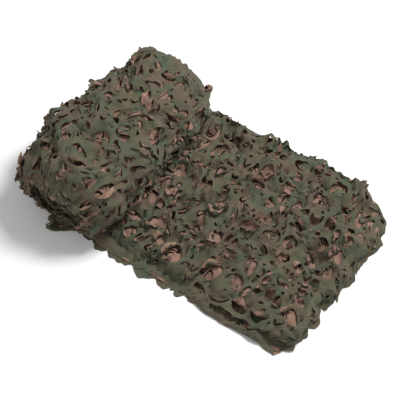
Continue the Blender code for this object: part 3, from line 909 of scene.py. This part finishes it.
def net_place(along, across):
    """The place in space of points of the chart."""
    layer, fold = layer_and_fold(across)
    top = layer == 0
    back = layer % 2 == 1
    share = np.where(fold > 0.0, 1.0, (across - STARTS[layer]) / STRIP_WIDTH)
    depth = DEPTHS[layer]
    depth_after = DEPTHS[np.minimum(layer + 1, LAYERS - 1)]
    near, far = side_edges(along, depth)
    near_after, far_after = side_edges(along, depth_after)
    turned = 0.5 - 0.5 * np.cos(pi * fold)
    bulge = np.where(top, OUTER_BULGE, INNER_BULGE) * np.sin(pi * fold) * np.where(back, -1.0, 1.0)
    y = np.where(back, blend(far, near, share), blend(near, far, share))
    y = blend(y, np.where(back, near_after, far_after), turned) + bulge
    deep = blend(depth, depth_after, turned)

    hang_out = END_HANG * (1.0 - cos(END_HANG_ANGLE))
    drawn = END_OUT - END_TUCK_IN
    out = np.where(top, blend(hang_out, drawn[-1], turned), drawn[depth])
    x = np.maximum(along + out * smooth(END_DRAW_X, END_X, along), CUT_X)
    strip = strip_place(x, y, deep)
    inset, fall = hang_over(np.maximum(NEAR_HANG - across, 0.0), NEAR_HANG, NEAR_HANG_ANGLE)
    hangs = near_hang(along)
    strip[:, 1] += inset * hangs
    strip[:, 2] -= fall * hangs
    inset, fall = hang_over(np.maximum(END_HANG - END_X + along, 0.0), END_HANG, END_HANG_ANGLE)
    hangs = top * (1.0 - turned)
    strip[:, 0] -= inset * hangs
    strip[:, 2] -= fall * hangs

    turns = np.interp(-(along - CUT_X) - FLOOR_RUN, LENGTH_TABLE, TURN_TABLE)
    roll = roll_place(turns, y, deep)
    joined = np.clip((CUT_X - along) / FLOOR_RUN, 0.0, 1.0)[:, None]
    return blend(strip, roll, joined)


def net_normal(along, across):
    """The direction that the cloth's face looks in."""
    step = 0.0015
    run = net_place(along + step, across) - net_place(along - step, across)
    way = net_place(along, across + step) - net_place(along, across - step)
    normal = np.cross(run, way)
    return normal / np.maximum(np.linalg.norm(normal, axis=1), LEAST_NORMAL)[:, None]


def outermost(column, across):
    """1 where the cloth is the layer that shows, 0 where it lies within."""
    top = fade(STRIP_WIDTH + 0.5 * OUTER_ARC, STARTS[1] + TOP_FADE, across)
    skin = smooth(STRIP_WIDTH, STARTS[1], across)
    skin = skin * fade(STARTS[2] - INNER_ARC, STARTS[2] + SKIN_FADE, across)
    skin = skin * fade(TURN_END - 0.5, TURN_END + 0.5, column)
    return blend(top, skin, smooth(COLUMNS_OUT - 0.5, COLUMNS_OUT + 1.0, column))


def column_along(column):
    """Where a column of cells starts along the strip, from the loose end's cut edge on."""
    roll_start = END_X - (END_X - CUT_X + FLOOR_RUN)
    turn_end = roll_start - FIRST_TURN_LENGTH
    roll_end = turn_end - (WOUND_LENGTH - FIRST_TURN_LENGTH)
    marks = (END_X, roll_start, turn_end, roll_end)
    return np.interp(column, (0, COLUMNS_OUT, TURN_END, ALL_COLUMNS), marks)


# Cutting, bending and laying the cloth.


def on_near_fold(column, row):
    return column < COLUMNS_OUT and abs(row - NEAR_FOLD_ROW) < 2


def on_far_fold(row):
    return row in (FAR_FOLD_ROW, FAR_FOLD_ROW + 1)


def cell_die(column, row, fine, dice):
    """The die that cuts a cell, its quarter turns, and whether it is mirrored."""
    loose = column < COLUMNS_OUT
    bristle = column in BRISTLE_COLUMNS
    pool = BRISTLE_DIES if bristle else range(len(DIES))
    die = pool[dice.integers(len(pool))]
    quarter = dice.integers(4)
    mirror = dice.integers(2)
    if row == 0 or column == 0 or on_near_fold(column, row) or on_far_fold(row):
        margin = column > 0 and (row == 0 or loose and row == FAR_FOLD_ROW)
        die = MARGIN_CUT if margin else EDGE_CUT
        quarter = 3 if column == 0 else 2 if row == FAR_FOLD_ROW else 0
    if loose and row == NEAR_FOLD_ROW + 1:
        die = PEEK_CUT
    if (column, row) in PLACED:
        die, quarter = PLACED[column, row][:2]
        mirror = 0
    if not fine:
        return DIES_COARSE[die], quarter, mirror
    return (DIES_SLACK if loose or bristle else DIES_TIGHT)[die], quarter, mirror


def cell_styles(column, row, fine):
    """The styles that a cell's tongues are drawn from."""
    if on_near_fold(column, row):
        return PEEK_STYLES if row > NEAR_FOLD_ROW else FOLD_STYLES
    if row == 0 or column == 0 or on_far_fold(row):
        lively = on_far_fold(row) or column < LIVELY_COLUMNS
        return RIM_STYLES if lively and 0 < column < COLUMNS_OUT else EDGE_STYLES
    if not fine:
        return HIDDEN_STYLES
    if column < COLUMNS_OUT:
        return LOOSE_STYLES
    if column in BRISTLE_COLUMNS:
        return BRISTLE_STYLES
    return CALM_STYLES if row >= CALM_ROW else ROLL_STYLES


def bend_cell(column, row, fine):
    """One cell of the cloth: its flat points, its bent ones, their tints and its triangles."""
    dice = np.random.default_rng((CELL_SEED, column, row))
    die, quarter, mirror = cell_die(column, row, fine, dice)
    styles = cell_styles(column, row, fine)
    raised = styles not in (HIDDEN_STYLES, FOLD_STYLES)
    loose = column < COLUMNS_OUT
    placed = PLACED.get((column, row))
    main_cut = np.argmax([cut[2] for cut in die.cuts])
    cell = turn_cell(die.points, quarter, mirror)
    bent = np.column_stack((cell * CELL_SIZE, np.zeros(len(cell))))
    tint = np.full(len(cell), 0.5 + CELL_TINT * dice.normal())
    relief = np.zeros(len(cell))
    for index, cut in enumerate(die.cuts):
        tongue = Tongue(cut, quarter, mirror)
        member = die.members[:, index]
        root_angle, rim_angle, width = tongue_style(dice, styles)
        if not loose and cut[2] * cut[5] > LARGE and root_angle > FOLDS_BACK:
            root_angle = 180.0 - root_angle
        toward = dice.uniform(*TOWARD)
        spread = dice.uniform(*SPREAD)
        width = min(width, (LOOSE_CURL if loose else ROLL_CURL) / tongue.radius)
        if placed and index == main_cut:
            root_angle, rim_angle, width = placed[2:]
            toward = 0.0
        tight = dice.uniform(*CURL_TIGHT)
        curled = tongue.curl(bent[member], radians(rim_angle), toward, spread, width, tight)
        tight = dice.uniform(*(FOLD_TIGHT if root_angle > FOLDS_BACK else STAND_TIGHT))
        cup = dice.uniform(*CUP)
        bent[member] = tongue.lift(curled, radians(root_angle), tight, cup)
        tint[member] = tint[member] + LEAF_TINT * dice.normal()
        near_cut = np.exp(-(die.cut_reach[:, index] / RELIEF_REACH) ** 2) * ~member
        relief += dice.uniform(*RELIEF) * near_cut * raised
    bent[:, 2] += relief
    start = np.array((float(column), float(row)))
    bent[:, :2] += start * CELL_SIZE
    return (cell + start) * CELL_SIZE, bent, tint, die.triangles if mirror else die.triangles[:, ::-1]


def cut_cloth(columns, rows, fine):
    """A rectangle of the chart: its flat points, its bent ones, their tints and its triangles."""
    cells = [bend_cell(column, row, fine) for column in range(*columns) for row in range(*rows)]
    flats, bents, tints, faces = zip(*cells)
    starts = np.cumsum([0, *map(len, flats)])
    triangles = np.concatenate([face + start for face, start in zip(faces, starts)])
    flat = np.concatenate(flats)
    places = np.round(flat / WELD).astype(np.int64)
    _, first, welded = np.unique(places, axis=0, return_index=True, return_inverse=True)
    tint = np.clip(np.concatenate(tints)[first], 0.0, 1.0)
    return flat[first], np.concatenate(bents)[first], tint, welded.reshape(-1)[triangles]


def lobes(distance, waves):
    """How far a cut edge's lobes reach out, from 0 to 1."""
    sway = LOBE_SWAY * ripple((distance,), *waves)
    return np.abs(np.sin(pi * (distance / LOBE_LENGTH + sway))) ** LOBE_ROUND


def shape_chart(flat, bent):
    """Where the bent cloth lies in the chart, with its cells warped and its cut edges lobed."""
    column = bent[:, 0] / CELL
    side = bent[:, 1]
    along = column_along(column)
    inset = smooth(0.0, 1.0, column) * smooth(0.0, CELL, side) * smooth(0.0, CELL, CHART_WIDTH - side)
    chart = (flat[:, 0], flat[:, 1])
    along = along + WARP * inset * ripple(chart, *WARP_ALONG_WAVES)
    across = side + WARP * inset * ripple(chart, *WARP_ACROSS_WAVES)
    out = LOBE * (lobes(flat[:, 0], LOBE_WAVES) - LOBE_REST)
    calm = blend(1.0, CALM_LOBES, smooth(*NEAR_HANG_STOP, along))
    across = across - out * calm * fade(0.0, EDGE_RUN, side)
    across = across + out * fade(0.0, EDGE_RUN, CHART_WIDTH - side)
    for corner in (0.0, STARTS[2] - INNER_ARC / 2.0):
        nearness = np.clip(1.0 - np.abs(side - corner) / CORNER_ROUND, 0.0, 1.0)
        drawn = CORNER_ROUND * (1.0 - np.sqrt(1.0 - nearness ** 2))
        along = along - CORNER_DRAW * drawn * fade(0.0, CORNER_COLUMNS, column)
    out = END_LOBE * (lobes(flat[:, 1], END_LOBE_WAVES) - END_LOBE_REST)
    return along + out * fade(0.0, 1.0, column), across


def lay_cloth(flat, bent):
    """The cloth's middle surface, laid into the form of the net."""
    along, across = shape_chart(flat, bent)
    column = bent[:, 0] / CELL
    shows = outermost(column, across)
    on_roll = smooth(COLUMNS_OUT - 1.0, COLUMNS_OUT + 1.0, column)
    base = net_place(along, across)
    spot = (np.where(along > CUT_X, base[:, 0], along), base[:, 1])
    layer, fold = layer_and_fold(across)
    upward = np.cos(pi * fold) * np.where(layer % 2 == 1, -1.0, 1.0)
    fine_crumple = FINE_CRUMPLE * shows * ripple(spot, *FINE_CRUMPLE_WAVES)
    crumple = upward * (CRUMPLE * ripple(spot, *CRUMPLE_WAVES) + fine_crumple)
    rise = blend(HIDDEN_REACH, blend(*LEAF_REACH, on_roll), shows)
    sink = blend(HIDDEN_REACH, blend(*LEAF_SINK, on_roll), shows)
    height = bent[:, 2]
    height = np.where(height > 0.0, rise * np.tanh(height / rise), sink * np.tanh(height / sink))
    height = height + crumple * blend(1.0, ROLL_CRUMPLE, on_roll)
    middle = base + net_normal(along, across) * height[:, None]
    middle[:, 2] = np.maximum(middle[:, 2], THICKNESS)
    return middle - np.array(ORIGIN)


def closed_sheet(name, middle, triangles, flat, tint):
    """Gives a surface its thickness, with its face, its back and the walls of its cut edges."""
    corners = middle[triangles]
    normals = np.cross(corners[:, 1] - corners[:, 0], corners[:, 2] - corners[:, 0])
    total = np.zeros_like(middle)
    for k in range(3):
        np.add.at(total, triangles[:, k], normals)
    total /= np.maximum(np.linalg.norm(total, axis=1), LEAST_TOTAL)[:, None]
    count = len(middle)
    points = np.concatenate((middle + total * THICKNESS / 2.0, middle - total * THICKNESS / 2.0))
    sides = np.concatenate((triangles[:, (0, 1)], triangles[:, (1, 2)], triangles[:, (2, 0)]))
    codes = sides[:, 0] * count + sides[:, 1]
    back_codes = sides[:, 1] * count + sides[:, 0]
    start, stop = sides[~np.isin(codes, back_codes)].T
    walls_one = np.column_stack((stop, start, start + count))
    walls_two = np.column_stack((stop, start + count, stop + count))
    every = np.concatenate((triangles, triangles[:, ::-1] + count, walls_one, walls_two))

    mesh = bpy.data.meshes.new(name)
    mesh.vertices.add(len(points))
    mesh.vertices.foreach_set("co", points.ravel())
    mesh.loops.add(every.size)
    mesh.loops.foreach_set("vertex_index", every.ravel().astype(np.int32))
    mesh.polygons.add(len(every))
    mesh.polygons.foreach_set("loop_start", np.arange(0, every.size, 3, dtype=np.int32))
    slots = np.zeros(len(every), np.int32)
    slots[len(triangles):2 * len(triangles)] = 1
    for material in CLOTH:
        mesh.materials.append(material)
    mesh.polygons.foreach_set("material_index", slots)
    mesh.update(calc_edges=True)
    weave = mesh.uv_layers.new(name="weave")
    weave.uv.foreach_set("vector", np.concatenate((flat, flat))[every.ravel()].ravel())
    shade = mesh.attributes.new("leaf_tint", "FLOAT", "POINT")
    shade.data.foreach_set("value", np.concatenate((tint, tint)))
    mesh.shade_smooth()
    mesh.set_sharp_from_angle(angle=SHARP_ANGLE)
    return add_object(name, mesh)


# The pieces of the net: columns and rows of the chart, and whether they are meshed finely.
OUT = (0, COLUMNS_OUT)
FIRST_TURN = (COLUMNS_OUT, TURN_END)
INNER_TURNS = (TURN_END, ALL_COLUMNS)
PIECES = (
    ("loose_end_top", OUT, (0, TOP_ROWS), True),
    ("loose_end_far_fold", OUT, (TOP_ROWS, NEAR_FOLD_ROW - 1), False),
    ("loose_end_near_fold", OUT, (NEAR_FOLD_ROW - 1, NEAR_FOLD_ROW + 2), True),
    ("loose_end_within", OUT, (NEAR_FOLD_ROW + 2, ROWS), False),
    ("outer_turn", FIRST_TURN, (FAR_FOLD_ROW, NEAR_FOLD_ROW + 3), True),
    ("outer_turn_within_a", FIRST_TURN, (0, FAR_FOLD_ROW), False),
    ("outer_turn_within_b", FIRST_TURN, (NEAR_FOLD_ROW + 3, ROWS), False),
    ("inner_turns_a", INNER_TURNS, (0, NEAR_FOLD_ROW), False),
    ("inner_turns_b", INNER_TURNS, (NEAR_FOLD_ROW, ROWS), False),
)

add_camera()
add_lights()
add_floor()
CLOTH = (cloth_material("net_face", FACE_TONES, FACE_SEED), cloth_material("net_back", BACK_TONES, BACK_SEED))
for piece_name, columns, rows, fine in PIECES:
    flat, bent, tint, triangles = cut_cloth(columns, rows, fine)
    piece = closed_sheet(piece_name, lay_cloth(flat, bent), triangles, flat, tint)
    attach(piece, "root")
    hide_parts("net_loose_end" if piece_name.startswith("loose") else "net_roll")
